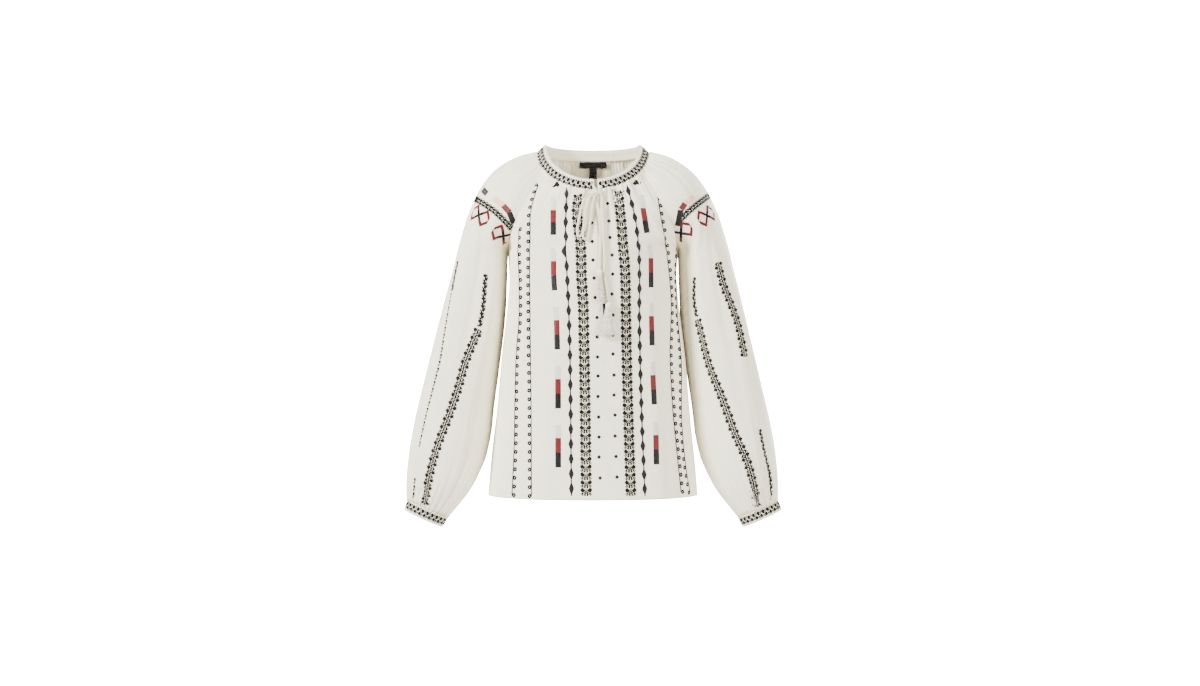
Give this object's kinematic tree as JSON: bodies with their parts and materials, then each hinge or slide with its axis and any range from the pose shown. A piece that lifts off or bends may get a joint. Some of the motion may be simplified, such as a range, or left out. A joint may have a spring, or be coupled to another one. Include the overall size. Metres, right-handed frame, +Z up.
{
  "type": "embroidered blouse",
  "caption": "Hollow raglan blouse in cream cotton gauze with cross-stitch bands in black, red and pink, a tied slit neck with tassels, and full sleeves gathered into cuffs.",
  "frame": {"origin": "middle of the neck at the height of the shoulder seams' neck points, where the wearer's shoulders hold the blouse", "axes": "+Z up, the front faces -Y, +X towards the right as seen from the front"},
  "size_m": [0.6936, 0.2414, 0.7044],
  "materials": {
    "cloth": "matt cotton gauze",
    "band": "black stitched motifs on cream cotton",
    "cord": "soft cotton cord",
    "label": "black satin ribbon"
  },
  "bodies": {
    "root": {"front": "cloth", "back": "cloth", "sleeve_left": "cloth", "sleeve_right": "cloth", "neckband_picots": "cloth", "cuff_picots_left": "cloth", "cuff_picots_right": "cloth", "neckband": "band", "cuff_left": "band", "cuff_right": "band", "tie_root_left": "cord", "tie_root_right": "cord", "tie_loop_left": "cord", "tie_loop_middle": "cord", "tie_end_left": "cord", "tie_end_right": "cord", "tie_knot": "cord", "tassel_left": "cord", "tassel_right": "cord", "label_main": "label", "label_size": "label"}
  },
  "joints": []
}
